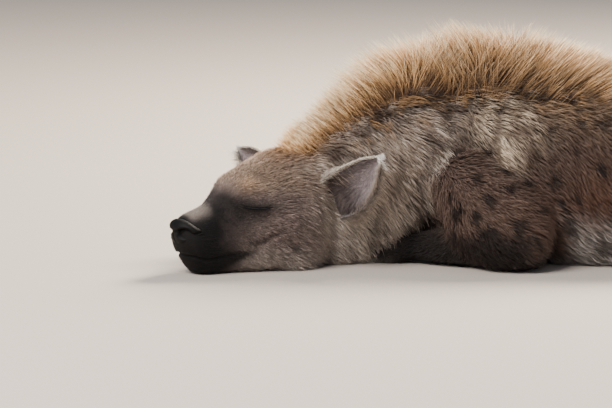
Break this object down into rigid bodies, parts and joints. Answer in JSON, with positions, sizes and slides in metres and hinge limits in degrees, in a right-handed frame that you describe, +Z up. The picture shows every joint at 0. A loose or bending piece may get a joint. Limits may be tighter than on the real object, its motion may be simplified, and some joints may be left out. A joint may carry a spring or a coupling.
{
  "type": "spotted hyena",
  "caption": "Life-size spotted hyena model, asleep on its chest with its chin on the ground, maned and spotted, lying on small flats",
  "frame": {"origin": "on the floor, in the flat under the belly, a little behind the withers", "axes": "+Z up from the floor, the body lies along X with the head towards -X, and the left side faces -Y"},
  "size_m": [1.3011, 0.4787, 0.4151],
  "materials": {
    "coat": "spotted grey-brown to tawny fur, matt",
    "mane": "longer cream and golden fur with dark roots, matt",
    "face": "short grizzled fur, brown-black on the muzzle, matt",
    "ear": "short grey fur with a pale rim, matt",
    "eyelid": "dark bare skin, soft sheen",
    "nose": "black pebbled skin, damp sheen",
    "lower_legs": "short brown-black fur, matt",
    "tail": "bushy brown-black fur, matt",
    "claw": "dark horn, dull gloss"
  },
  "bodies": {
    "root": {"claw_fore_left_1": "claw", "claw_fore_left_2": "claw", "claw_fore_left_3": "claw", "claw_fore_left_4": "claw", "claw_fore_right_1": "claw", "claw_fore_right_2": "claw", "claw_fore_right_3": "claw", "claw_fore_right_4": "claw", "claw_hind_left_1": "claw", "claw_hind_left_2": "claw", "claw_hind_left_3": "claw", "claw_hind_left_4": "claw", "claw_hind_right_1": "claw", "claw_hind_right_2": "claw", "claw_hind_right_3": "claw", "claw_hind_right_4": "claw", "ear_left": "ear", "ear_right": "ear", "eyelid_lower_left": "eyelid", "eyelid_lower_right": "eyelid", "eyelid_upper_left": "eyelid", "eyelid_upper_right": "eyelid", "fore_paw_left": "lower_legs", "fore_paw_right": "lower_legs", "forearm_left": "lower_legs", "forearm_right": "lower_legs", "head": "face", "hind_paw_left": "lower_legs", "hind_paw_right": "lower_legs", "neck": "mane", "nose": "nose", "shank_left": "lower_legs", "shank_right": "lower_legs", "tail_base": "tail", "tail_middle": "tail", "tail_tip": "tail", "thigh_left": "coat", "thigh_right": "coat", "torso": "coat", "upper_arm_left": "coat", "upper_arm_right": "coat"}
  },
  "joints": []
}
